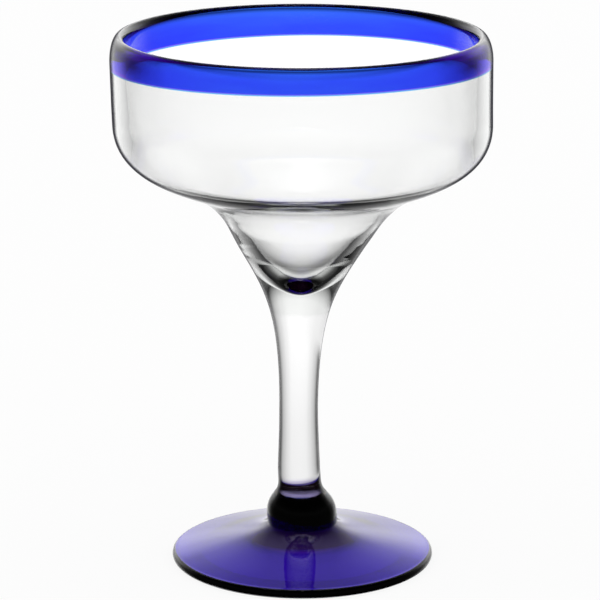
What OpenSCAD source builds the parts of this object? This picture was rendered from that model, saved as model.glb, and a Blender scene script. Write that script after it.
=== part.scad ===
/* [Bowl] */
// Outside diameter of the bowl at the rim
bowl_d = 120; // [108:1:134]
// Glass thickness of the bowl's wall
wall_t = 5; // [3.6:0.1:5.8]
// Glass thickness of the bowl's floor, near the funnel
floor_t = 3.6; // [3.2:0.1:4.6]
// Height of the bowl from the corner above the funnel up to the lip
cup_h = 54.1; // [49:0.1:64]
// Height from that corner up to the end of the rounded shoulder
shoulder_h = 26.2; // [22:0.1:30]
// How far the straight wall leans in below the rim
wall_lean = 0.2; // [0:0.1:0.8]
// Slope of the bowl's underside, in degrees above level
floor_angle = 26.7; // [24:0.1:30]
// Slope of the bowl's floor inside, in degrees above level
inner_floor_angle = 25.3; // [23:0.1:28]
// Height inside from the same corner up to the end of the rounded shoulder
inner_shoulder_h = 29.7; // [26:0.1:33]

/* [Funnel] */
// Diameter of the corner where the funnel meets the bowl's underside
funnel_d = 56.2; // [52:0.1:62]
// Height from the stem's waist up to that corner
funnel_h = 67.5; // [62:0.1:76]
// Slope of the funnel's side, in degrees above level
funnel_angle = 60.3; // [57:0.1:63]
// Length of the round at the corner, measured along either side
corner_round = 8.7; // [5:0.1:11]
// Slope of the side of the well inside the funnel, in degrees above level
well_angle = 57.6; // [55:0.1:59]
// Depth of the well's tip below the outside corner
well_depth = 26.9; // [24:0.1:29]
// Glass thickness between the well's side and the outside corner
well_wall_t = 3.4; // [2.8:0.1:4.4]
// Length of the round between the well and the floor, along either side
well_round = 8; // [6:0.1:10]

/* [Rim] */
// Height of the cobalt band, lip included
band_h = 9.4; // [9:0.1:14]
// Height over which the lip rounds in towards its crest
lip_h = 7.8; // [5:0.1:8.4]

/* [Stem] */
// Diameter of the stem at its waist, where it is thinnest
waist_d = 12.4; // [11:0.1:13.4]
// Height of the waist above the joint with the knop
waist_h = 28.2; // [24:0.1:36]
// Diameter of the stem just above the flare
shank_d = 13.7; // [12.8:0.1:15]
// Diameter of the flared end that stands on the knop
flare_d = 16.4; // [15.4:0.1:18]
// Height of the flare
flare_h = 4.5; // [3.4:0.1:6]

/* [Knop] */
// Greatest diameter of the knop
knop_d = 22.6; // [20.4:0.1:26]
// Height of the knop, from the foot up to the rim of its socket
knop_h = 10.3; // [9:0.1:13]
// Diameter of the crease where the knop stands on the foot
crease_d = 22.2; // [19.6:0.1:25]
// Depth of the socket that holds the stem's rounded end
socket_h = 2.2; // [1:0.1:3.6]

/* [Foot] */
// Diameter of the foot
foot_d = 84.4; // [74:0.1:94]
// Height of the foot's top, where the knop stands
foot_h = 11.7; // [9.6:0.1:14]
// Thickness of the foot at its edge
edge_t = 3; // [2.2:0.1:3.8]
// How far the rounding of the edge reaches in
edge_round = 1.4; // [0.8:0.1:2]
// Width of the flat ring that the glass stands on
ring_w = 8.2; // [5:0.1:10]
// Height of the hollow under the foot
hollow_h = 5.4; // [3:0.1:6.4]

/* [Hidden] */
$fn = 180;

// Straight pieces that stand for one curve of an outline
curve_steps = 16;
// Straight pieces that stand for a short round
round_steps = 10;

// Levels where one piece of glass ends on the next
joint_z = foot_h + knop_h;
waist_z = joint_z + waist_h;
corner_z = waist_z + funnel_h;
rim_z = corner_z + cup_h;
band_z = rim_z - band_h;

// The foot: its top is a slack curve that steepens up to the knop
foot_r = foot_d / 2;
crease_r = crease_d / 2;
foot_run = foot_r - edge_round - crease_r;
foot_rise = foot_h - edge_t;
foot_skirt_shares = [0.5, 0.41];
foot_neck_shares = [0.85, 0.53];

// The knop: shares of its height for the belly and for the pull of its two curves
knop_r = knop_d / 2;
belly_share = 0.3;
belly_z = foot_h + belly_share * knop_h;
belly_pull_shares = [0.42, 0.55];
neck_pull_shares = [0.4, 0.2];

// The stem: the flare turns from the knop's slope to upright
flare_r = flare_d / 2;
shank_r = shank_d / 2;
waist_r = waist_d / 2;
flare_pull_shares = [0.6, 0.21];
shank_pull_share = 0.47;
taper_pull_shares = [0.23, 0.35];

// The funnel: one curve from the waist to the corner's round
waist_pull_share = 0.54;
funnel_pull_share = 0.33;
// Share of that curve at which the stem ends and the bowl begins
seam_share = 0.42;

// The outside corner, and the ends of its round
corner = [funnel_d / 2, corner_z];
funnel_end = corner - corner_round * along(funnel_angle);
floor_start = corner + corner_round * along(floor_angle);

// The bowl: radii of its wall, and where the shoulder ends
bowl_r = bowl_d / 2;
shoulder_r = bowl_r - wall_lean;
shoulder_z = corner_z + shoulder_h;
lip_z = rim_z - lip_h;
shoulder_pull_shares = [0.33, 0.74];
inner_shoulder_pull_shares = [0.71, 0.79];
band_r = bowl_r - wall_lean * (lip_z - band_z) / (lip_z - shoulder_z);

// The well inside: two straight sides that meet at a rounded corner
well_corner = meet(
    corner + well_wall_t * across(well_angle), well_angle,
    corner + floor_t * across(inner_floor_angle), inner_floor_angle
);
well_end = well_corner - well_round * along(well_angle);
well_floor_start = well_corner + well_round * along(inner_floor_angle);
well_tip_z = corner_z - well_depth;
well_tip_share = 0.26;
well_pull_share = 0.53;

// The lip: the crest lies nearer the inside than the outside of the wall
crest_share = 0.62;
crest_r = bowl_r - crest_share * wall_t;
lip_inner_share = 0.4;
lip_inner_h = lip_inner_share * lip_h;

// Direction of a line at an angle above level, and the one square to it, to its left
function along(angle) = [cos(angle), sin(angle)];
function across(angle) = [-sin(angle), cos(angle)];

// Point where the line through p at angle a meets the line through q at angle b
function meet(p, a, q, b) =
    p + along(a) * ((q - p) * across(b)) / (along(a) * across(b));

// Point of a curve that leaves p[0] towards p[1] and reaches p[3] from p[2]
function point_on(p, t) =
    pow(1 - t, 3) * p[0] + 3 * pow(1 - t, 2) * t * p[1]
    + 3 * (1 - t) * t * t * p[2] + pow(t, 3) * p[3];

// Points of the curve p between two shares of it, without the last one
function curve(p, from = 0, to = 1, steps = curve_steps) =
    [for (i = [0:steps - 1]) point_on(p, from + (to - from) * i / steps)];

// Points of a round from a to b, pulled towards the corner c, without the last one
function round_corner(a, c, b, steps = round_steps) =
    [for (i = [0:steps - 1])
        let (t = i / steps) pow(1 - t, 2) * a + 2 * (1 - t) * t * c + t * t * b];

// Points of a quarter of an oval about c, without the last one
function quarter(c, size, start, steps = round_steps) =
    [for (i = [0:steps - 1])
        let (a = start + 90 * i / steps) c + [size[0] * cos(a), size[1] * sin(a)]];

// The shoulder from the end of a floor at an angle up to the wall
function shoulder(from, to, angle, pull_shares) = [
    from,
    from + pull_shares[0] * (to[0] - from[0]) / cos(angle) * along(angle),
    to - [0, pull_shares[1] * (to[1] - from[1])],
    to
];

// Outer curve of the stem and the funnel, shared by the stem and the bowl
funnel_curve = [
    [waist_r, waist_z],
    [waist_r, waist_z + waist_pull_share * funnel_h],
    funnel_end - funnel_pull_share * funnel_h * along(funnel_angle),
    funnel_end
];
seam = point_on(funnel_curve, seam_share);

// Rounded end of the stem and the socket that it fills, shared by the stem and the knop
function socket_points() =
    [for (i = [0:round_steps - 1])
        let (s = i / round_steps) [flare_r * s, joint_z - socket_h * (1 - s * s)]];

module foot() {
    skirt = [foot_r - edge_round, edge_t];
    crease = [crease_r, foot_h];
    top_curve = [
        skirt,
        skirt + [-foot_skirt_shares[0] * foot_run, foot_skirt_shares[1] * foot_rise],
        skirt + [-foot_neck_shares[0] * foot_run, foot_neck_shares[1] * foot_rise],
        crease
    ];
    edge_centre = [foot_r - edge_round, edge_t / 2];
    edge_size = [edge_round, edge_t / 2];
    ring_r = foot_r - edge_round - ring_w;
    hollow = [for (i = [0:curve_steps - 1])
        let (s = i / curve_steps) [ring_r * s, hollow_h * (1 - s * s)]];
    color([0.16, 0.12, 0.62, 0.75])
        rotate_extrude()
            polygon(concat(
                hollow,
                [[ring_r, 0]],
                quarter(edge_centre, edge_size, -90),
                quarter(edge_centre, edge_size, 0),
                curve(top_curve),
                [crease, [0, foot_h]]
            ));
}

module knop() {
    crease = [crease_r, foot_h];
    belly = [knop_r, belly_z];
    mouth = [flare_r, joint_z];
    below = belly_z - foot_h;
    above = joint_z - belly_z;
    lower = [
        crease,
        [knop_r, foot_h + belly_share * below],
        belly - [0, belly_pull_shares[0] * below],
        belly
    ];
    upper = [
        belly,
        belly + [0, belly_pull_shares[1] * above],
        mouth + [neck_pull_shares[0] * (knop_r - flare_r), -neck_pull_shares[1] * above],
        mouth
    ];
    color([0.05, 0.03, 0.3, 0.9])
        rotate_extrude()
            polygon(concat(
                [[0, foot_h]],
                curve(lower),
                curve(upper),
                [mouth],
                [for (i = [round_steps - 1:-1:0]) socket_points()[i]]
            ));
}

module stem() {
    mouth = [flare_r, joint_z];
    shank = [shank_r, joint_z + flare_h];
    waist = [waist_r, waist_z];
    taper_h = waist_z - joint_z - flare_h;
    flare_curve = [
        mouth,
        mouth + [-flare_pull_shares[0] * (flare_r - shank_r), flare_pull_shares[1] * flare_h],
        shank - [0, shank_pull_share * flare_h],
        shank
    ];
    taper_curve = [
        shank,
        shank + [0, taper_pull_shares[0] * taper_h],
        waist - [0, taper_pull_shares[1] * taper_h],
        waist
    ];
    color([0.86, 0.91, 0.93, 0.4])
        rotate_extrude()
            polygon(concat(
                socket_points(),
                curve(flare_curve),
                curve(taper_curve),
                curve(funnel_curve, 0, seam_share),
                [seam, [0, seam[1]]]
            ));
}

module bowl() {
    shoulder_end = [shoulder_r, shoulder_z];
    inner_end = [shoulder_r - wall_t, corner_z + inner_shoulder_h];
    well = [
        [0, well_tip_z],
        [well_tip_share * well_end[0], well_tip_z],
        well_end - well_pull_share * (well_end[1] - well_tip_z) * along(well_angle),
        well_end
    ];
    inside = concat(
        curve(well),
        round_corner(well_end, well_corner, well_floor_start),
        curve(shoulder(
            well_floor_start, inner_end, inner_floor_angle, inner_shoulder_pull_shares
        )),
        [inner_end, [band_r - wall_t, band_z]]
    );
    color([0.86, 0.91, 0.93, 0.4])
        rotate_extrude()
            polygon(concat(
                [[0, seam[1]]],
                curve(funnel_curve, seam_share, 1),
                round_corner(funnel_end, corner, floor_start),
                curve(shoulder(floor_start, shoulder_end, floor_angle, shoulder_pull_shares)),
                [shoulder_end, [band_r, band_z]],
                [for (i = [len(inside) - 1:-1:0]) inside[i]]
            ));
}

module rim_band() {
    crest_centre = [crest_r, lip_z];
    inner_centre = [crest_r, rim_z - lip_inner_h];
    inner_w = crest_r - bowl_r + wall_t;
    color([0.12, 0.25, 0.95, 0.7])
        rotate_extrude()
            polygon(concat(
                [[band_r - wall_t, band_z], [band_r, band_z]],
                quarter(crest_centre, [bowl_r - crest_r, lip_h], 0),
                quarter(inner_centre, [inner_w, lip_inner_h], 90),
                [[bowl_r - wall_t, rim_z - lip_inner_h]]
            ));
}

foot();
knop();
stem();
bowl();
rim_band();
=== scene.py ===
# %% [markdown]
# A margarita glass, hand-blown, with a cobalt band round its lip and a cobalt knop
# and foot. The CAD solids could simply get a glass material. Here each of the five
# pieces of glass is made again as a smooth lathed surface, because light bends in
# glass, and the many flat faces of a solid would break it up. The solids stay in the
# physics model, which is loaded first and gives the frame that everything sits in.

import math

import bpy
import numpy as np
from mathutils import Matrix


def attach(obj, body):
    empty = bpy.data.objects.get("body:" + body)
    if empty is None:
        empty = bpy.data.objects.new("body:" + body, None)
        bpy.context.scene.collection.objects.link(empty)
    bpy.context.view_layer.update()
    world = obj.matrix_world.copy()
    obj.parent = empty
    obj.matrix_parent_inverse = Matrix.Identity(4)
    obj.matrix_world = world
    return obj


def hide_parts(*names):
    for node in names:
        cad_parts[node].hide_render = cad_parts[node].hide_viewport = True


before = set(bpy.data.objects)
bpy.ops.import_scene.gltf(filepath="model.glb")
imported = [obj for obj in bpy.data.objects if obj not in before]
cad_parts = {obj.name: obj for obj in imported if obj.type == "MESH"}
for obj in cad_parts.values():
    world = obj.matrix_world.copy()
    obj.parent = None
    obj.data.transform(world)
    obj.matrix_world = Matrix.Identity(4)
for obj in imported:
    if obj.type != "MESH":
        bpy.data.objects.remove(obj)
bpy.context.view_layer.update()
MM = 0.001

# %% [markdown]
# A blown glass is turned on its pipe while it is soft, so nearly all of its form is
# one outline swept round an axis. The outline could be traced point by point. It is
# drawn with the named sizes of the source instead, so that both stay the same:
# radii, heights, thicknesses and angles, in millimetres and degrees, from the foot
# up. Names that end in Z are heights above the table.

# %% Sizes
FOOT_R, EDGE_T, EDGE_ROUND = 42.2, 3.0, 1.4
RING_W, HOLLOW_H, WORN_H, FOOT_H = 8.2, 5.4, 0.75, 11.7
CREASE_R, KNOP_R, KNOP_H, SOCKET_H = 11.1, 11.3, 10.3, 1.7
FLARE_R, FLARE_H, SHANK_R = 8.2, 4.5, 6.85
WAIST_R, WAIST_H, FUNNEL_H = 6.2, 28.2, 67.5
FUNNEL_R, FUNNEL_ANGLE, FLOOR_ANGLE, CORNER_ROUND = 28.1, 60.3, 26.7, 8.7
FLOOR_T, INNER_FLOOR_ANGLE, INNER_SHOULDER_H = 3.6, 25.3, 29.7
WELL_ANGLE, WELL_DEPTH, WELL_WALL_T, WELL_ROUND = 57.6, 26.9, 3.4, 8.0
BOWL_R, WALL_T, WALL_LEAN = 60.0, 5.0, 0.2
CUP_H, SHOULDER_H, BAND_H, LIP_H = 54.1, 26.2, 9.4, 7.8

NECK_Z = FOOT_H + KNOP_H
WAIST_Z = NECK_Z + WAIST_H
CORNER_Z = WAIST_Z + FUNNEL_H
RIM_Z = CORNER_Z + CUP_H
BAND_Z = RIM_Z - BAND_H
SHOULDER_Z = CORNER_Z + SHOULDER_H
LIP_Z = RIM_Z - LIP_H
print("height, mm:", RIM_Z)

# %% [markdown]
# Some lines of the outline lie at an angle, such as the funnel's side and the cup's
# sloping floor. Their ends could be worked out by hand. Unit vectors along and
# across an angle turn such lines into sums, and give the corner where two meet.

# %% Directions


def along(angle):
    """Unit vector at an angle above level, in degrees."""
    return np.array([math.cos(math.radians(angle)), math.sin(math.radians(angle))])


def across(angle):
    """Unit vector square to along(angle), to its left."""
    return np.array([-math.sin(math.radians(angle)), math.cos(math.radians(angle))])


def meet(p, a, q, b):
    """Where the line through p at angle a meets the line through q at angle b."""
    return p + along(a) * ((q - p) @ across(b)) / (along(a) @ across(b))


print("the funnel's side points to:", along(FUNNEL_ANGLE).round(3))

# %% [markdown]
# Four kinds of line make every outline: a slack curve pulled by two handles, a round
# between two straight lines, a quarter of an oval, and a straight line. Blender's
# curve objects could hold them too. A formula is used because it gives a whole run
# as one array, and any place on it can be shared with the next piece.

# %% Lines of an outline


def slack(points, steps=48, start=0.0, end=1.0):
    """A curve that leaves the first point towards the second and reaches the
    fourth from the third: the four, weighted by the cubes of t and 1 - t and the
    mixed products between them."""
    a, b, c, d = np.array(points, float)
    t = np.linspace(start, end, steps + 1)[:, None]
    s = 1 - t
    return s**3 * a + 3 * s * s * t * b + 3 * s * t * t * c + t**3 * d


def rounded(a, corner, b, steps=24):
    """A round from a to b, pulled towards the corner between them: the three,
    weighted by the squares of 1 - t and t and twice their product."""
    t = np.linspace(0, 1, steps + 1)[:, None]
    return (1 - t) ** 2 * a + 2 * (1 - t) * t * corner + t * t * b


def quarter(centre, size, start, steps=24):
    """A quarter of an oval about a centre: cosine across, sine up."""
    a = np.radians(start + np.linspace(0, 90, steps + 1))
    return np.array(centre) + np.stack([size[0] * np.cos(a), size[1] * np.sin(a)], 1)


def line(a, b, steps=12):
    """A straight line from a to b in equal steps."""
    t = np.linspace(0, 1, steps + 1)[:, None]
    return (1 - t) * np.array(a, float) + t * np.array(b, float)


print("points in each:", len(line((0, 0), (1, 1))), len(quarter((0, 0), (1, 1), 0)))

# %% [markdown]
# Where two gathers of glass are fused there is no surface in the real glass, but a
# closed mesh needs one. The pieces could overlap, which confuses the light. Here
# each is closed a hundredth of a millimetre short of its neighbour, and its faces
# carry a share, called fused, of the light that goes straight through as if nothing
# were there: 1 in a seam, 0 on a polished surface, and something between where a
# surface mirrors only part of what polished glass does. An outline is a list of runs,
# and each run is its points and this share.

# %% Fused faces
SEAM_GAP = 0.01
POLISHED, FUSED = 0, 1


def measure(name, outline):
    """Prints how many points an outline has, its largest radius and its top."""
    points = np.concatenate([run for run, _ in outline])
    print(name, "points:", len(points), "radius and top, mm:", points.max(0).round(1))


print("seam gap, mm:", SEAM_GAP)

# %% [markdown]
# The foot is a gather of cobalt, spun out flat while hot, with a rounded edge. Its
# top swings up to the knop in one line. Underneath it is hollow, and it stands on a
# ring that is worn round inside. A bevelled disc would be quicker, but the hollow
# bends the light that comes up from the table and shows the stem's mirror image. The
# middle of the hollow mirrors a little less than the rest.

# %% Foot
HALF_HOLLOW = 16  # steps from the axis to the middle of the hollow's side
DULL = 0.2  # fused share of the hollow's middle
WORN_SHARE = 0.84  # of the ring's width, from inside
TOP_PULLS = [(-0.50, 0.41), (-0.85, 0.53)]  # shares of the run in and of the rise


def foot_outline():
    """Hollow underneath, which falls with the square of the radius and levels out
    with its sixth power, then the standing ring, the rounded edge, and the top that
    swings up to the knop."""
    flat_r = FOOT_R - EDGE_ROUND
    ring_r = flat_r - RING_W
    s = np.linspace(0, 1, 2 * HALF_HOLLOW + 1)[:, None]
    hollow = np.hstack([ring_r * s, HOLLOW_H * (1 - s * s) + WORN_H * s**6])
    rest = [ring_r + WORN_SHARE * RING_W, 0]
    centre, size = [flat_r, EDGE_T / 2], [EDGE_ROUND, EDGE_T / 2]
    skirt = np.array([flat_r, EDGE_T])
    run, rise = flat_r - CREASE_R, FOOT_H - EDGE_T
    pulls = [skirt + [a * run, b * rise] for a, b in TOP_PULLS]
    top = slack([skirt, *pulls, [CREASE_R, FOOT_H - SEAM_GAP]], 64)
    return [
        (hollow[: HALF_HOLLOW + 1], DULL),
        (hollow[HALF_HOLLOW:], POLISHED),
        (line(hollow[-1], rest), POLISHED),
        (line(rest, [flat_r, 0], 4), POLISHED),
        (quarter(centre, size, -90), POLISHED),
        (quarter(centre, size, 0), POLISHED),
        (top, POLISHED),
        (line(top[-1], [0, FOOT_H - SEAM_GAP], 8), FUSED),
    ]


measure("foot", foot_outline())

# %% [markdown]
# The knop is a small ball of cobalt, pinched where it meets the foot and drawn in to
# the stem. A squashed sphere could stand for it, but the stem's clear glass goes on
# with the same curve. So above the belly the ball is one slack curve, the joint lies
# a share of the way along it, and the stem's round end sits in a shallow socket.

# %% Knop
BELLY_SHARE = 0.3  # of the knop's height
BELLY_PULLS = (0.3, 0.42)  # up from the crease, and down from the belly
BALL_PULLS = (0.55, 0.4, -0.2)  # up from the belly, then out and down from the neck
JOINT_SHARE = 0.93

belly = np.array([KNOP_R, FOOT_H + BELLY_SHARE * KNOP_H])
neck = np.array([FLARE_R, NECK_Z])
ball_h = NECK_Z - belly[1]
BALL = [belly, belly + [0, BALL_PULLS[0] * ball_h],
        neck + [BALL_PULLS[1] * (KNOP_R - FLARE_R), BALL_PULLS[2] * ball_h], neck]
joint = slack(BALL, 1, JOINT_SHARE)[0]


def socket(gap):
    """The rounded end of the stem, from the axis outwards: a shallow bowl that rises
    with the square of the radius."""
    s = np.linspace(0, 1, 25)[:, None]
    return np.hstack([joint[0] * s, joint[1] + gap - SOCKET_H * (1 - s * s)])


def knop_outline():
    """The cobalt part of the ball, fuller below the middle, up to the joint."""
    below, crease = belly[1] - FOOT_H, np.array([CREASE_R, FOOT_H])
    lower = [crease, [KNOP_R, FOOT_H + BELLY_PULLS[0] * below],
             belly - [0, BELLY_PULLS[1] * below], belly]
    return [
        (line([0, FOOT_H], crease, 8), FUSED),
        (slack(lower, 24), POLISHED),
        (slack(BALL, 24, 0, JOINT_SHARE), POLISHED),
        (socket(0)[::-1], FUSED),
    ]


measure("knop", knop_outline())

# %% [markdown]
# From the waist of the stem to the top of the funnel the outside is one long curve,
# drawn smooth while both pieces were hot. Two arcs could meet at the seam, but the
# eye finds any kink in glass. So stem and bowl take their parts of the same curve,
# and the seam is a share of the way along it.

# %% Funnel curve
FUNNEL_PULLS = (0.54, 0.33)  # up from the waist and down from the end, of the height
SEAM_SHARE = 0.42
corner = np.array([FUNNEL_R, CORNER_Z])
funnel_end = corner - CORNER_ROUND * along(FUNNEL_ANGLE)
FUNNEL = [
    [WAIST_R, WAIST_Z],
    [WAIST_R, WAIST_Z + FUNNEL_PULLS[0] * FUNNEL_H],
    funnel_end - FUNNEL_PULLS[1] * FUNNEL_H * along(FUNNEL_ANGLE),
    funnel_end,
]
seam = slack(FUNNEL, 1, SEAM_SHARE)[0]
print("seam of stem and bowl, mm:", seam.round(1))

# %% [markdown]
# The stem is solid, clear glass, drawn to a waist, with a flare that laps down over
# the knop. A tapered cylinder would lose the waist, which squeezes what is seen
# through it. Its end isn't quite fused with the knop: a film of air is left in the
# joint, more in the middle than at the edge, and mirrors light. That makes the pale
# band above the dark knop.

# %% Stem
FILM_MIDDLE, FILM_EDGE = 0.6, 0.96  # fused shares of the joint
FILM_STEPS = 14  # steps of the round end, from the axis, that count as its middle
FLARE_PULLS = (-0.6, 0.21, 0.47)  # in and up from the neck, down from the shank
SHAFT_PULLS = (0.23, 0.35)  # up from the shank, and down from the waist


def stem_outline():
    """Rounded lower end, drawn down over the ball, then flare, shank, waist, and the
    start of the funnel."""
    end = socket(SEAM_GAP)
    over = slack(BALL, 24, JOINT_SHARE, 1)
    over[0] = end[-1]
    shank, waist = np.array([SHANK_R, NECK_Z + FLARE_H]), np.array([WAIST_R, WAIST_Z])
    taper = WAIST_Z - NECK_Z - FLARE_H
    spread = [FLARE_PULLS[0] * (FLARE_R - SHANK_R), FLARE_PULLS[1] * FLARE_H]
    flare = slack([neck, neck + spread,
                   shank - [0, FLARE_PULLS[2] * FLARE_H], shank], 24)
    shaft = slack([shank, shank + [0, SHAFT_PULLS[0] * taper],
                   waist - [0, SHAFT_PULLS[1] * taper], waist])
    funnel = slack(FUNNEL, 40, 0, SEAM_SHARE)
    return [
        (end[: FILM_STEPS + 1], FILM_MIDDLE),
        (end[FILM_STEPS:], FILM_EDGE),
        (over, POLISHED),
        (flare, POLISHED),
        (shaft, POLISHED),
        (funnel, POLISHED),
        (line(funnel[-1], [0, seam[1]], 8), FUSED),
    ]


measure("stem", stem_outline())

# %% [markdown]
# The cup's wall leans out by a hair up to the lip, and bowl and band share it. Below
# it a rounded shoulder turns down to the sloping floor. A bevelled corner would do
# for a glass pressed by machine. Here the outside bends slackly all along the
# underside, and inside the floor stays straight for longer, so each side has its
# own two handles.

# %% Wall and shoulder
SHOULDER_PULLS = (0.30, 0.70)  # shares along the floor, and down the wall
INNER_SHOULDER_PULLS = (0.71, 0.79)


def wall_points(z):
    """The wall's outer and inner points at a height above the shoulder."""
    r = BOWL_R - WALL_LEAN * (LIP_Z - z) / (LIP_Z - SHOULDER_Z)
    return np.array([r, z]), np.array([r - WALL_T, z])


def shoulder(start, end, angle, pulls):
    """The rounded shoulder, from the floor at an angle to the upright wall."""
    reach = pulls[0] * (end[0] - start[0]) / math.cos(math.radians(angle))
    return slack([start, start + reach * along(angle),
                  end - [0, pulls[1] * (end[1] - start[1])], end], 64)


print("wall at the band, mm:", [round(p[0], 2) for p in wall_points(BAND_Z)])

# %% [markdown]
# The bowl is the heart of the glass: a thick funnel that opens into a wide cup, with
# a well inside it. Solidify could thicken a single skin, but this wall isn't even.
# The well follows the funnel at its own angle and ends in a round tip, and a thick
# floor carries the cup. So both sides are drawn, and closed at the two seams.

# %% Bowl
WELL_PULLS = (0.26, 0.53)  # out from the tip, and down from the well's end


def bowl_outline():
    """Outside: funnel, corner, underside, shoulder and wall. Inside: the same line
    again, one wall's thickness in, down to the well inside the funnel."""
    funnel = slack(FUNNEL, 64, SEAM_SHARE, 1)
    funnel[0, 1] += SEAM_GAP
    underside = corner + CORNER_ROUND * along(FLOOR_ANGLE)
    wall = np.array([BOWL_R - WALL_LEAN, SHOULDER_Z])
    inner_wall = np.array([BOWL_R - WALL_LEAN - WALL_T, CORNER_Z + INNER_SHOULDER_H])
    well_corner = meet(corner + WELL_WALL_T * across(WELL_ANGLE), WELL_ANGLE,
                       corner + FLOOR_T * across(INNER_FLOOR_ANGLE), INNER_FLOOR_ANGLE)
    well_end = well_corner - WELL_ROUND * along(WELL_ANGLE)
    floor = well_corner + WELL_ROUND * along(INNER_FLOOR_ANGLE)
    tip_z = CORNER_Z - WELL_DEPTH
    drop = WELL_PULLS[1] * (well_end[1] - tip_z)
    well = slack([[0, tip_z], [WELL_PULLS[0] * well_end[0], tip_z],
                  well_end - drop * along(WELL_ANGLE), well_end], 64)
    inner_shoulder = shoulder(floor, inner_wall, INNER_FLOOR_ANGLE,
                              INNER_SHOULDER_PULLS)
    outer_top, inner_top = wall_points(BAND_Z - SEAM_GAP)
    return [
        (line([0, funnel[0, 1]], funnel[0], 8), FUSED),
        (funnel, POLISHED),
        (rounded(funnel[-1], corner, underside), POLISHED),
        (shoulder(underside, wall, FLOOR_ANGLE, SHOULDER_PULLS), POLISHED),
        (line(wall, outer_top), POLISHED),
        (line(outer_top, inner_top, 4), FUSED),
        (line(inner_top, inner_wall), POLISHED),
        (inner_shoulder[::-1], POLISHED),
        (rounded(floor, well_corner, well_end), POLISHED),
        (well[::-1], POLISHED),
    ]


measure("bowl", bowl_outline())

# %% [markdown]
# The band is a thread of cobalt, wrapped round the lip and melted in, so it is as
# thick as the wall. Painting the bowl's upper edge blue would be simpler, but only
# glass that is blue all through is paler where it thins and darker seen along it. Its
# crest lies nearer the inside: a long oval outside and a short one inside.

# %% Band
CREST_SHARE, INNER_LIP_SHARE = 0.62, 0.4  # of the wall, and of the lip's height


def band_outline():
    """The lip: upright outside, rounded over a crest that lies nearer the inside."""
    outer, inner = wall_points(BAND_Z)
    crest_r = BOWL_R - CREST_SHARE * WALL_T
    inner_h = INNER_LIP_SHARE * LIP_H
    over = quarter([crest_r, LIP_Z], [BOWL_R - crest_r, LIP_H], 0, 40)
    back = quarter([crest_r, RIM_Z - inner_h], [crest_r - BOWL_R + WALL_T, inner_h], 90)
    return [
        (line(inner, outer, 4), FUSED),
        (line(outer, over[0], 6), POLISHED),
        (over, POLISHED),
        (back, POLISHED),
        (line(back[-1], inner, 10), POLISHED),
    ]


measure("band", band_outline())

# %% [markdown]
# Hand-worked glass is never quite true. The axis of this one wanders by up to a
# millimetre from foot to rim, and the band's lower edge is a slightly tilted ring.
# A lattice or a sculpting brush could bend the meshes. Smooth functions of height
# and of the angle round the axis are used, and every piece goes through the same
# ones, so that fused faces stay together.

# %% Wander
WANDER_Z = [0, 12, 18, 24, 30, 50, 70, 85, 95, 104, 110, 116, 121, 128, 137, 150, 172]
WANDER_X = [0.35, 0.35, 0.0, -0.4, -0.75, -0.85, -0.65, -0.4, -0.1, 0.2, 0.7, 1.15,
            1.2, 0.9, 0.6, 0.25, -0.1]
TILT, WAVE = (0.50, -1.12), (-0.25, 0.06)  # cosine and sine parts, in mm
EDGE_REACH = 9.0  # how far above and below the edge the glass moves with it


def band_edge(theta):
    """How far the band's lower edge lies above its mean level, round the glass:
    a tilt, which is one turn of a wave, and a little of its second harmonic."""
    return (TILT[0] * np.cos(theta) + TILT[1] * np.sin(theta)
            + WAVE[0] * np.cos(2 * theta) + WAVE[1] * np.sin(2 * theta))


def wandered(r, z, theta):
    """Points in space, in mm, of an outline point at every angle: radius times
    cosine and sine, moved sideways by the axis and up by the band's edge."""
    near = np.clip(1 - np.abs(z - BAND_Z) / EDGE_REACH, 0, 1)
    z = z + band_edge(theta) * near * near * (3 - 2 * near)
    drift = np.interp(z, WANDER_Z, WANDER_X)
    return np.stack([r * np.cos(theta) + drift, r * np.sin(theta), z], -1)


print("band edge right, back, left and front, mm:",
      band_edge(np.radians([0, 90, 180, 270])).round(2))

# %% [markdown]
# Blender's Screw modifier sweeps an outline too, but leaves doubles on the axis and
# knows nothing of fused faces. So the mesh is built as a grid of rings: the runs of
# the outline are joined, a ring on the axis becomes a single pole, and the faces
# between two rings take the share of the outline's step there.

# %% Rings
SEGMENTS = 192
ON_AXIS = 1e-9  # mm


def joined(outline):
    """An outline's points without the doubles where its runs meet, and the fused
    share of each step. One that comes back to its start loses its last point."""
    runs = [points for points, _ in outline]
    points = np.concatenate([runs[0]] + [run[1:] for run in runs[1:]])
    fused = np.concatenate([np.full(len(run) - 1, float(mark))
                            for run, mark in outline])
    if np.allclose(points[0], points[-1]):
        points = points[:-1]
    return points, fused


def ring_faces(points, steps):
    """Corners of all faces: step i at angle j joins rings i and i + 1. With them,
    how far each corner lies round the glass and along the outline, from 0 to 1."""
    count = len(points)
    index = np.arange(count * SEGMENTS).reshape(count, SEGMENTS)
    pole = np.isclose(points[:, 0], 0, atol=ON_AXIS)
    index[pole] = index[pole][:, :1]
    i, j = np.arange(steps)[:, None], np.arange(SEGMENTS)[None, :]
    after, k = (i + 1) % count, (j + 1) % SEGMENTS
    quads = np.stack([index[i, j], index[i, k], index[after, k], index[after, j]], -1)
    edges = np.diff(np.vstack([points, points[:1]]), axis=0)
    length = np.concatenate([[0], np.cumsum(np.hypot(*edges.T))])
    u = np.stack([j, j + 1, j + 1, j], -1) / SEGMENTS
    v = np.stack([length[i], length[i], length[i + 1], length[i + 1]], -1) / length[-1]
    return [np.broadcast_to(a, quads.shape).reshape(-1, 4) for a in (quads, u, v)]


points, fused = joined(stem_outline())
print("the stem has", len(points), "rings and", len(fused), "steps between them")

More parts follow.
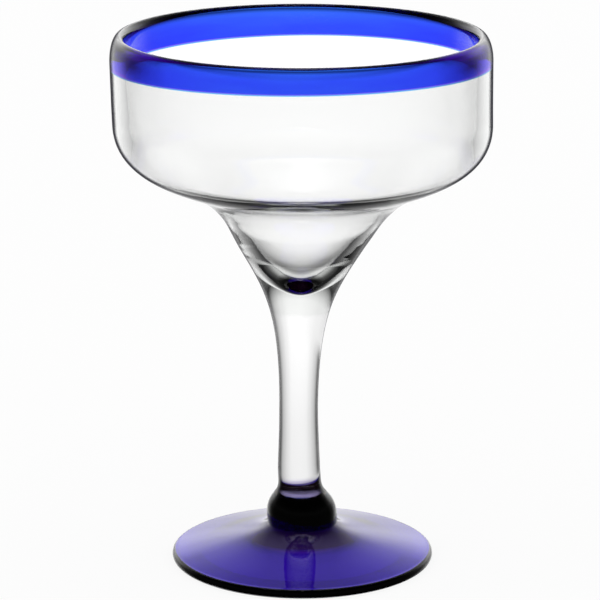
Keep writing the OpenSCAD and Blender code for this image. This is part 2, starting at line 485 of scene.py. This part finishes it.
# %% [markdown]
# The grid goes into the mesh as whole arrays, which is much faster than adding
# faces one by one. A face at a pole has two corners on the same point, so it is
# written with three. Shading is smooth, and breaks only where the outline turns by
# more than forty degrees, as at the seams.

# %% Lathe
SHARP = math.radians(40)


def lathe(name, outline, body="root"):
    """A closed surface of revolution: outline point i at angle j is vertex i, j."""
    points, fused = joined(outline)
    theta = np.linspace(0, 2 * math.pi, SEGMENTS, endpoint=False)
    grid = wandered(points[:, 0:1], points[:, 1:2], theta[None, :])
    quads, u, v = ring_faces(points, len(fused))
    keep = quads != np.roll(quads, 1, axis=1)
    used, corners = np.unique(quads[keep], return_inverse=True)
    total = keep.sum(1)
    mesh = bpy.data.meshes.new(name)
    mesh.vertices.add(len(used))
    mesh.vertices.foreach_set("co", (grid.reshape(-1, 3)[used] * MM).ravel())
    mesh.loops.add(len(corners))
    mesh.loops.foreach_set("vertex_index", corners.ravel())
    mesh.polygons.add(len(quads))
    mesh.polygons.foreach_set("loop_start", np.cumsum(total) - total)
    mesh.polygons.foreach_set("loop_total", total)
    mesh.polygons.foreach_set("use_smooth", np.ones(len(quads), bool))
    mesh.update(calc_edges=True)
    mesh.attributes.new("fused", "FLOAT", "FACE").data.foreach_set(
        "value", np.repeat(fused, SEGMENTS).astype(np.float32))
    mesh.uv_layers.new(name="UVMap").data.foreach_set(
        "uv", np.stack([u[keep], v[keep]], -1).ravel())
    mesh.set_sharp_from_angle(angle=SHARP)
    mesh.validate()
    piece = bpy.data.objects.new(name, mesh)
    bpy.context.scene.collection.objects.link(piece)
    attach(piece, body)
    print(name, "faces:", len(mesh.polygons))
    return piece


print("points in each ring:", SEGMENTS)

# %% [markdown]
# Materials could be wired by hand in the node editor. In a script they read best as
# sums. A Wire stands for one output of a node, and adding, taking away or
# multiplying wires adds Math nodes. Any other node comes from Tree.node.

# %% Shader helpers


class Wire:
    """One output of a node, for use in Python expressions."""

    def __init__(self, tree, socket):
        self.tree, self.socket = tree, socket

    def __add__(self, other):
        return self.tree.maths("ADD", self, other)

    __radd__ = __add__

    def __sub__(self, other):
        return self.tree.maths("SUBTRACT", self, other)

    def __rsub__(self, other):
        return self.tree.maths("SUBTRACT", other, self)

    def __mul__(self, other):
        return self.tree.maths("MULTIPLY", self, other)

    __rmul__ = __mul__


class Tree:
    """A node tree that is being filled."""

    def __init__(self, node_tree):
        self.tree = node_tree
        node_tree.nodes.clear()

    def node(self, kind, settings=None, inputs=None, output=0):
        """Adds a node, sets it up, fills or links its sockets, and gives a Wire of
        one output. A ramp's setting "stops" is a list of (position, colour)."""
        made = self.tree.nodes.new(kind)
        for name, value in (settings or {}).items():
            if name == "stops":
                set_stops(made.color_ramp.elements, value)
            else:
                setattr(made, name, value)
        for name, value in (inputs or {}).items():
            if isinstance(value, Wire):
                self.tree.links.new(value.socket, made.inputs[name])
            else:
                made.inputs[name].default_value = value
        return Wire(self, made.outputs[output]) if made.outputs else None

    def maths(self, operation, a, b=0.5):
        """One Math node."""
        return self.node("ShaderNodeMath", {"operation": operation}, {0: a, 1: b})

    def vectors(self, operation, a, b=(0, 0, 0), output=0):
        """One Vector Math node. Its output 1 is a number."""
        return self.node("ShaderNodeVectorMath", {"operation": operation},
                         {0: a, 1: b}, output)

    def mix(self, share, a, b, blend="MIX"):
        """A colour between a and b."""
        return self.node("ShaderNodeMix", {"data_type": "RGBA", "blend_type": blend},
                         {0: share, 6: a, 7: b}, 2)

    def ramp(self, value, stops):
        """A colour ramp with the given (position, grey or colour) stops."""
        return self.node("ShaderNodeValToRGB", {"stops": stops}, {0: value})


def set_stops(elements, stops):
    """Gives a new ramp its stops. A bare number is a grey."""
    for extra in stops[2:]:
        elements.new(extra[0])
    for element, (position, colour) in zip(elements, stops):
        element.position = position
        element.color = colour if isinstance(colour, tuple) else (colour,) * 3 + (1,)


def new_tree(data):
    """The emptied node tree of a new material or world."""
    data.use_nodes = True
    return Tree(data.node_tree)


operators = [name for name, member in vars(Wire).items() if callable(member)][1:]
print("a wire knows the operators", operators)

# %% [markdown]
# Most looks of this glass go by place: by the height above the table, by the side
# of the glass, outside or in, or by how far it turns away from the eye. A painted
# picture could hold the first two, but would be one more file, and blurred up close.
# A ramp on the object's own coordinates stays sharp, and stays on the glass.

# %% By place
LEVEL = (1, 1, 0)  # keeps what is across, and drops what is up
RAMPS_PER_M = 5  # one ramp reaches 200 mm up


def height_ramp(tree, place, stops):
    """A grey that goes by (mm up, grey) stops."""
    up = tree.node("ShaderNodeSeparateXYZ", {}, {0: place}, 2)
    return tree.ramp(up * RAMPS_PER_M, [(h * MM * RAMPS_PER_M, v) for h, v in stops])


def turned_out(tree, place):
    """1 where light meets the outside of the glass, and 0 in the cup and inside the
    glass: the normal points away from the axis, and the face isn't seen from behind."""
    normal = tree.node("ShaderNodeNewGeometry", output="Normal")
    behind = tree.node("ShaderNodeNewGeometry", output="Backfacing")
    level = tree.vectors("MULTIPLY", place, LEVEL)
    away = tree.vectors("DOT_PRODUCT", normal, level, 1)
    return (1 - behind) * tree.maths("GREATER_THAN", away, 0)


def glancing(tree):
    """0 where the surface faces the eye, up to 1 where it is seen along it."""
    return tree.node("ShaderNodeLayerWeight", {}, {"Blend": 0.5}, 1)


print("a height ramp reaches, mm:", round(1 / RAMPS_PER_M / MM))

# %% [markdown]
# Glass bends light at its surface and soaks some of it up on the way through. How
# much it soaks up is a number per millimetre for red, green and blue: clear glass
# has almost none, and cobalt takes green and red within a few millimetres and
# leaves blue, so the same kind of glass is bright blue in the thin wall and nearly
# black in the thick knop. A flat blue Base Color couldn't do that. Fused faces have
# no alpha, so nothing happens to light there, and a slow noise in a Bump stands for
# the soft waves that a hand tool leaves in hot glass. Where the outside turns away
# from the eye, a dark shader is mixed in: painted shade for the thin dark outline
# that blown glass shows.

# %% Glass
PER_M = 1000  # millimetres in a metre
GLASS_IOR = 1.5
WAVE_SCALE, WAVE_STRENGTH, WAVE_DEPTH = 55.0, 0.25, 0.0004
PAINTED_EDGE_SHADE = (0.03, 0.03, 0.04, 1)


def glass(name, colour, soak, edge):
    """Clear-through glass: a function that gives the tint of its surface, the share
    of red, green and blue light that each millimetre takes, and the stops of its
    painted dark outline, by the share of the way to glancing and by height."""
    material = bpy.data.materials.new(name)
    tree = new_tree(material)
    place = tree.node("ShaderNodeTexCoord", output="Object")
    fused = tree.node("ShaderNodeAttribute", {"attribute_name": "fused"}, output=2)
    waves = tree.node("ShaderNodeTexNoise", {},
                      {0: place, "Scale": WAVE_SCALE, "Detail": 1.0})
    normal = tree.node("ShaderNodeBump", {}, {
        "Strength": WAVE_STRENGTH, "Distance": WAVE_DEPTH, "Height": waves})
    surface = tree.node("ShaderNodeBsdfPrincipled", {}, {
        "Base Color": colour(tree, place), "Roughness": 0.0, "IOR": GLASS_IOR,
        "Transmission Weight": 1.0, "Alpha": 1 - fused, "Normal": normal,
    })
    turn_stops, height_stops = edge
    # Painted shade: a dark shader is mixed in where the outside turns away from the
    # eye, as the dark outline.
    outline = tree.ramp(glancing(tree), turn_stops)
    if height_stops:
        outline = outline * height_ramp(tree, place, height_stops)
    outline = outline * (1 - fused) * turned_out(tree, place)
    dark = tree.node("ShaderNodeBsdfDiffuse", {}, {"Color": PAINTED_EDGE_SHADE})
    surface = tree.node("ShaderNodeMixShader", {}, {0: outline, 1: surface, 2: dark})
    density = PER_M * max(soak)
    volume = tree.node("ShaderNodeVolumeAbsorption", {}, {
        "Color": tuple(1 - PER_M * s / density for s in soak) + (1,),
        "Density": density,
    })
    tree.node("ShaderNodeOutputMaterial", {}, {"Surface": surface, "Volume": volume})
    print(name, "passes through 5 mm:", [round(math.exp(-5 * s), 2) for s in soak])
    return material


print("light goes slower in glass by a factor of", GLASS_IOR)

# %% [markdown]
# Clear glass isn't white all over. The bowl has the faintest cloud. The stem is
# tinted grey towards the knop, and lilac where its flare laps over the cobalt. A
# single tint would be simpler, but would lose that grey.

# %% Clear tints
CLOUD = (0.985, 0.985, 0.985, 1)
WHITE = (1, 1, 1, 1)
LILAC = (0.52, 0.45, 0.84, 1)
STEM_GREYS = [(24.2, LILAC), (25.2, 0.82), (45, 0.84), (60, 0.90), (80, 1.0)]


def streaks(tree, place, squeeze, scale):
    """Noise from 0 to 1 whose spots are squeezed in height, so that they lie level."""
    squeezed = tree.vectors("MULTIPLY", place, (1, 1, squeeze))
    return tree.node("ShaderNodeTexNoise", {},
                     {0: squeezed, "Scale": scale, "Detail": 2.0})


def clear_bowl(tree, place):
    """White with the faintest cloud."""
    return tree.mix(streaks(tree, place, squeeze=3, scale=30.0), CLOUD, WHITE)


def clear_stem(tree, place):
    """White at the funnel, a light grey at the shank, and lilac over the knop."""
    return height_ramp(tree, place, STEM_GREYS)


print("stem greys, by height in mm:", STEM_GREYS[1:])

# %% [markdown]
# In the band the cobalt lies in faint level streaks. Outside it is palest at its
# lower edge, where the wrap ends thin, and inside it pales towards the lip. Where
# the outside turns away from the eye, light crosses more of it, and it goes to
# indigo. The soak alone would do that on a thicker band, but this one is as thin as
# the wall, so the indigo is painted shade, mixed in by a ramp on Layer Weight.

# %% Band tint
SEA_BLUE, SKY_BLUE = (0.034, 0.50, 0.98, 1), (0.046, 0.95, 1, 1)
# Indigo: painted shade for the band where it is seen edge-on.
PAINTED_INDIGO_SHADE = (0.008, 0.014, 0.045, 1)
INNER_PALE, OUTER_PALE = [(160, 0.0), (RIM_Z, 0.65)], [(163, 0.9), (170, 0.0)]
STREAKS, DEEPER, OUTER_DEEPER = 0.9, 0.25, 0.2  # how much they pale or deepen it
PAINTED_INDIGO_TURN = [(0.28, 0.0), (0.40, 0.6), (0.50, 1.0), (0.58, 1.0), (0.72, 0.1)]
PAINTED_INDIGO_HEIGHT = [(163, 0.45), (167, 1.0), (169, 0.9), (171, 0.4)]


def cobalt_band(tree, place):
    """Two blues, mixed by level streaks and by height, and indigo painted shade where
    it turns.
    """
    out = turned_out(tree, place)
    inner = height_ramp(tree, place, INNER_PALE)
    outer = height_ramp(tree, place, OUTER_PALE) - OUTER_DEEPER
    share = STREAKS * streaks(tree, place, squeeze=9, scale=45.0) - DEEPER
    share = share + inner * (1 - out) + outer * out
    blue = tree.mix(share, SEA_BLUE, SKY_BLUE)
    # Painted shade: indigo where the outside turns away from the eye, within the given
    # heights.
    deep = tree.ramp(glancing(tree), PAINTED_INDIGO_TURN)
    deep = deep * height_ramp(tree, place, PAINTED_INDIGO_HEIGHT)
    return tree.mix(deep * out, blue, PAINTED_INDIGO_SHADE)


print("indigo over, mm:", PAINTED_INDIGO_HEIGHT[0][0], "to", PAINTED_INDIGO_HEIGHT[-1][0])

# %% [markdown]
# The foot was spun, so its streaks are rings: the noise reads only the distance
# from the axis. The knop was gathered, so its streaks lie level. Both are nearly too
# dark to show them, but they keep the blue from looking like plastic.

# %% Foot and knop tints
RING_SCALE = 300.0
FOOT_BLUES = (0.062, 0.006, 0.80, 1), (0.080, 0.010, 0.96, 1)
KNOP_BLUES = (0.04, 0.10, 0.90, 1), (0.06, 0.14, 1, 1)


def cobalt_foot(tree, place):
    """Deep blue in faint rings: noise of the distance from the axis."""
    out = tree.vectors("LENGTH", tree.vectors("MULTIPLY", place, LEVEL), output=1)
    rings = tree.node("ShaderNodeCombineXYZ", {}, {0: out})
    share = tree.node("ShaderNodeTexNoise", {},
                      {0: rings, "Scale": RING_SCALE, "Detail": 2.0})
    return tree.mix(share, *FOOT_BLUES)


def cobalt_knop(tree, place):
    """Deep blue, streaked as gathered glass is."""
    return tree.mix(streaks(tree, place, squeeze=4, scale=90.0), *KNOP_BLUES)


print("lightest blue of foot and knop:", FOOT_BLUES[1][:3], KNOP_BLUES[1][:3])

# %% [markdown]
# The dark outline is painted shade. It is bold, a pixel or two wide, on clear glass
# with a tight curve. On the bowl it is bold at the shoulder, faint on the underside,
# which the eye only grazes, and softer round the funnel. Cobalt is dark enough nearly
# without one. Freestyle lines could draw it, but they would be left behind by the
# exported model.

# %% Painted dark outlines of the finishes
# Stops of the painted dark outline: by the share of the way to glancing, and by height
# in mm.
BOLD_PAINTED_EDGE = [(0.0, 0.0), (0.80, 0.0), (0.87, 0.9), (1.0, 1.0)], None
BOWL_PAINTED_EDGE = ([(0.0, 0.0), (0.78, 0.0), (0.85, 0.95), (1.0, 1.0)],
             [(112, 0.75), (117, 0.6), (119, 0.25), (126, 0.25), (130, 1.0)])
FINE_PAINTED_EDGE = [(0.0, 0.0), (0.90, 0.0), (0.96, 0.7), (1.0, 0.9)], None
print("the bold outline starts at", BOLD_PAINTED_EDGE[0][1][0], "of the way to glancing")

# %% [markdown]
# Five finishes, one for each piece. The numbers say how much red, green and blue
# each millimetre soaks up, and were found by comparing renders with the photograph.
# One cobalt glass could do for all the blue. Here band, foot and knop have their
# own, because the real band is a bright blue, the foot violet and the knop nearly
# black, which differs by more than their thickness explains.

# %% Finishes
stem_glass = glass("stem_glass", clear_stem, (0.006, 0.006, 0.006), BOLD_PAINTED_EDGE)
bowl_glass = glass("bowl_glass", clear_bowl, (0.0100, 0.0095, 0.0100), BOWL_PAINTED_EDGE)
band_glass = glass("band_glass", cobalt_band, (0.06, 0.45, 0.02), BOLD_PAINTED_EDGE)
foot_glass = glass("foot_glass", cobalt_foot, (0.20, 0.25, 0.17), FINE_PAINTED_EDGE)
knop_glass = glass("knop_glass", cobalt_knop, (0.30, 0.45, 0.40), FINE_PAINTED_EDGE)

# %% [markdown]
# Five pieces of glass, each with its own finish. Each hides the solid of the same
# node, which it replaces to the eye.

# %% Pieces
PIECES = [
    ("foot_glass_piece", foot_outline, "foot", "foot_glass", foot_glass),
    ("knop_glass_piece", knop_outline, "knop", "knop_glass", knop_glass),
    ("stem_glass_piece", stem_outline, "stem", "clear_glass", stem_glass),
    ("bowl_glass_piece", bowl_outline, "bowl", "clear_glass", bowl_glass),
    ("rim_glass_piece", band_outline, "rim_band", "band_glass", band_glass),
]
for name, outline, node, slot, material in PIECES:
    piece = lathe(name, outline())
    piece.data.materials.append(material)
    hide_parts(node)

# %% [markdown]
# The floor is a wide sheet of pale paper. A plain white floor would go grey in soft
# light, so to the eye most of it glows as evenly as the backdrop, and the rest is
# lit, so that a trace of the shadow stays. Glass looks through it at the backdrop,
# which in a studio is the same sheet swept up.

# %% Floor
FLOOR_HALF = 6  # metres
PAPER, PAPER_GLOW = (0.9, 0.9, 0.9, 1), 0.88


def plain_mesh(name, corners):
    """One flat face through the given corners, in metres."""
    mesh = bpy.data.meshes.new(name)
    mesh.from_pydata(corners, [], [tuple(range(len(corners)))])
    mesh.update()
    made = bpy.data.objects.new(name, mesh)
    bpy.context.scene.collection.objects.link(made)
    return made


floor = plain_mesh("floor", [(x * FLOOR_HALF, y * FLOOR_HALF, 0) for x, y in
                             [(-1, -1), (1, -1), (1, 1), (-1, 1)]])
floor.visible_glossy = False
floor.visible_transmission = False
paper = bpy.data.materials.new("paper")
tree = new_tree(paper)
camera_ray = tree.node("ShaderNodeLightPath", output="Is Camera Ray")
lit = tree.node("ShaderNodeBsdfDiffuse", {}, {"Color": PAPER})
glow = tree.node("ShaderNodeEmission", {}, {"Color": WHITE, "Strength": 1.0})
both = tree.node("ShaderNodeMixShader", {},
                 {0: camera_ray * PAPER_GLOW, 1: lit, 2: glow})
tree.node("ShaderNodeOutputMaterial", {}, {"Surface": both})
floor.data.materials.append(paper)
print("floor, m:", 2 * FLOOR_HALF)

# %% [markdown]
# Under the foot the glass sees the paper itself, in the foot's own shade. Real
# shadows there would need many more samples to come out clean, so a small glowing
# disc, hidden from the camera, stands for it, with the shade painted on. It is
# lighter to the sides, where light gets in, than in the middle and at the back.

# %% Painted shade of the paper under the foot
UNDER_R, UNDER_Z = 0.042, -0.0001  # metres
DEPTH_RAMPS, SIDE_RAMPS = 12, 24  # per metre: one over the foot, one over half of it
# Painted light to the sides, and painted shade in the middle and at the back.
SIDE_PAINTED_LIGHT = [(0.0, 0.5), (0.25, 0.50), (0.6, 0.65), (1.0, 0.75)]
BACK_PAINTED_SHADE = [(0.5, 0.0), (1.0, 0.6)]
BLACK, PAINTED_SHADE_GLOW = (0, 0, 0, 1), 1.6

# A disc that glows with the painted shade and light, hidden from the camera.
under = plain_mesh("painted_shade_under_foot", [
    (UNDER_R * math.cos(a), UNDER_R * math.sin(a), UNDER_Z)
    for a in np.linspace(0, 2 * math.pi, 64, endpoint=False)])
under.visible_camera = False
under.visible_diffuse = False
shaded = bpy.data.materials.new("paper_in_shade")
tree = new_tree(shaded)
place = tree.node("ShaderNodeTexCoord", output="Object")
side, depth = (tree.node("ShaderNodeSeparateXYZ", {}, {0: place}, n) for n in range(2))
side = tree.maths("ABSOLUTE", side)
lit = tree.mix(tree.ramp(depth * DEPTH_RAMPS + 0.5, BACK_PAINTED_SHADE),
               tree.ramp(side * SIDE_RAMPS, SIDE_PAINTED_LIGHT), BLACK)
glow = tree.node("ShaderNodeEmission", {}, {"Color": lit, "Strength": PAINTED_SHADE_GLOW})
tree.node("ShaderNodeOutputMaterial", {}, {"Surface": glow})
under.data.materials.append(shaded)
print("disc under the foot, mm across:", 2 * UNDER_R / MM)

# %% [markdown]
# The studio is the one in which glass is usually photographed. Behind the object is
# a bright white backdrop that glass shows as white, and to the sides and overhead it
# is darker, which draws the edges and the thick parts. It could be built from
# lamps and cards. Here it is a world that goes by direction, with ramps, since that
# gives little noise and every edge stays soft. These two helpers turn degrees round
# the room, and degrees above level, into places on a ramp.

# %% Directions in the room
world = bpy.data.worlds.new("room")
bpy.context.scene.world = world
tree = new_tree(world)
way = tree.node("ShaderNodeTexCoord")
x, y, height = (tree.node("ShaderNodeSeparateXYZ", {}, {0: way}, n) for n in range(3))
turn = tree.maths("ARCTAN2", 0 - x, y) * (0.5 / math.pi) + 0.5


def by_turn(stops):
    """A ramp by the angle round the room, in degrees to the left of straight back."""
    return tree.ramp(turn, [(a / 360 + 0.5, v) for a, v in sorted(stops)])


def by_height(stops):
    """A ramp by the angle above level, in degrees."""
    return tree.ramp(height * 0.5 + 0.5,
                     [(0.5 + 0.5 * math.sin(math.radians(a)), v) for a, v in stops])


print("nodes that find the direction:", len(world.node_tree.nodes))

# %% [markdown]
# Round the room, light that was mirrored in the glass sees only the backdrop, which
# fades to dark at both sides. Light that only went through the glass also sees two
# white sheets, a wide one on the left and a narrow one behind the camera's right
# shoulder. A low dark patch stands in front of the left one.

# %% Round the room
DARK, DIM, SHEET = 0.02, 0.1, 0.85
FADE = [(8, 0.99), (14, 0.98), (18, 0.94), (22, 0.87), (27, 0.82), (31, 0.74),
        (38, 0.64), (44, 0.52), (52, 0.23), (58, DIM), (75, DARK)]
right = [(-a, v) for a, v in FADE]
backdrop = by_turn([(-178, DARK)] + right + [(0, 1.0)] + FADE + [(178, DARK)])
narrow_sheet = [(-175, DARK), (-162, DIM), (-155, SHEET), (-115, SHEET), (-105, DIM),
                (-95, DARK)]
wide_sheet = [(10, 0.95), (25, SHEET), (112, SHEET), (125, DIM), (178, DARK)]
sheets = by_turn(narrow_sheet + right + [(0, 1.0)] + wide_sheet)
patch = by_height([(-26, 0.0), (-21, 1.0), (-8, 1.0), (-3, 0.0)])
patch = patch * tree.maths("GREATER_THAN", turn, 0.5)
mirrored = tree.node("ShaderNodeLightPath", output="Glossy Depth")
bounced = tree.maths("MINIMUM", mirrored, 1.0)
around = tree.mix(tree.maths("MINIMUM", mirrored + patch, 1.0), sheets, backdrop)
print("the backdrop is half as bright at", FADE[7][0], "degrees to each side")

# %% [markdown]
# By height, the room is full from a little below level to a little above it, and
# dark overhead and underfoot. Mirrored light also finds a lit ceiling, which puts
# the pale gleams on the shoulder and the foot. What the glass sees in a direction is
# the product of the two: how bright it is that far round, and that high up.

# %% Up and down the room
UPRIGHT = [(-90, 0.0), (-62, 0.007), (-50, 0.05), (-44, 0.1), (-34, 0.36),
           (-31, 0.55), (-28, 0.70), (-26, 0.8), (-24, 0.92), (-21, 1.0), (12, 1.0),
           (16, 0.87), (22, 0.55), (30, 0.03), (90, 0.02)]
CEILING = [(-90, 0.0), (-62, 0.007), (-50, 0.06), (-44, 0.12), (-34, 0.38),
           (-26, 0.7), (-21, 0.98), (20, 1.0), (26, 0.8), (34, 0.5), (42, 0.3),
           (57, 0.3), (66, 0.5), (76, 0.8), (90, 0.8)]
upright = tree.mix(bounced, by_height(UPRIGHT), by_height(CEILING))
seen = tree.mix(1.0, around, upright, "MULTIPLY")
print("straight up, seen through and mirrored:", UPRIGHT[-1][1], CEILING[-1][1])

# %% [markdown]
# Where the eye looks steeply down through thin glass, it sees the pale table, not
# the dark below. The outside of the glass mirrors a soft sheen from a little above
# level, which light inside the glass doesn't see. A brighter lamp could whiten the
# picture round the glass, but would wash out the glass too. So rays from the camera,
# and those that light the floor, see a plain white room of strength 1 instead.

# %% Table, sheen and background
BACK = 1.26  # strength of the backdrop seen in glass, which keeps back some of it
SHEEN = 0.8
TABLE = (0.78, 0.78, 0.78, 1)
THIN = 4.5  # at most four surfaces, which are two walls of the cup
MIRROR_COST = 9  # counts a mirroring as more surfaces than thin glass has

passed = tree.node("ShaderNodeLightPath", output="Transmission Depth")
thin = tree.maths("LESS_THAN", passed + MIRROR_COST * mirrored, THIN)
steep = by_height([(-90, 1.0), (-52, 1.0), (-40, 0.0), (90, 0.0)])
seen = tree.mix(steep * thin, seen, TABLE)
camera_ray = tree.node("ShaderNodeLightPath", output="Is Camera Ray")
plain_ray = tree.node("ShaderNodeLightPath", output="Is Diffuse Ray")
share = camera_ray + plain_ray
outer = tree.maths("LESS_THAN", passed, 0.5) * bounced
sheen = by_height([(0, 0.0), (6, 0.3), (11, 0.9), (15, 1.0), (26, 0.0)])
background = tree.node("ShaderNodeBackground", {}, {
    "Color": tree.mix(share, seen, WHITE),
    "Strength": share * (1 - BACK) + BACK + SHEEN * outer * sheen,
})
tree.node("ShaderNodeOutputWorld", {}, {"Surface": background})
print("nodes in the room:", len(world.node_tree.nodes))

# %% [markdown]
# The camera stands a metre away and looks down by fifteen degrees, so that the rim
# is an open oval and the foot a flatter one. A long lens keeps the sides upright.
# Its place was fitted to the outlines of rim and foot in the photograph.

# %% Camera
CAMERA_AT = (-0.0004, -1.0, 0.350)  # metres
LOOKS_DOWN = 14.79  # degrees
camera_data = bpy.data.cameras.new("camera")
camera_data.sensor_width = 36
camera_data.lens = 194.6
camera_data.clip_start, camera_data.clip_end = 0.05, 40
camera = bpy.data.objects.new("camera", camera_data)
camera.location = CAMERA_AT
camera.rotation_euler = (math.radians(90 - LOOKS_DOWN), 0, 0)
bpy.context.scene.collection.objects.link(camera)
bpy.context.scene.camera = camera
print("camera at, m:", CAMERA_AT, "looking down by, degrees:", LOOKS_DOWN)

# %% [markdown]
# Light crosses up to a dozen surfaces in this glass, and is mirrored inside it
# again and again. With the usual few turns the thick parts would go black, so it is
# followed for longer.

# %% Render settings
LIGHT_TURNS = 40
scene = bpy.context.scene
scene.view_settings.view_transform = "Standard"
scene.cycles.max_bounces = LIGHT_TURNS
scene.cycles.transmission_bounces = LIGHT_TURNS
scene.cycles.glossy_bounces = LIGHT_TURNS
scene.cycles.transparent_max_bounces = LIGHT_TURNS
print("light is followed for", LIGHT_TURNS, "turns")

# %% [markdown]
# The dressed glass has to fit the solids.
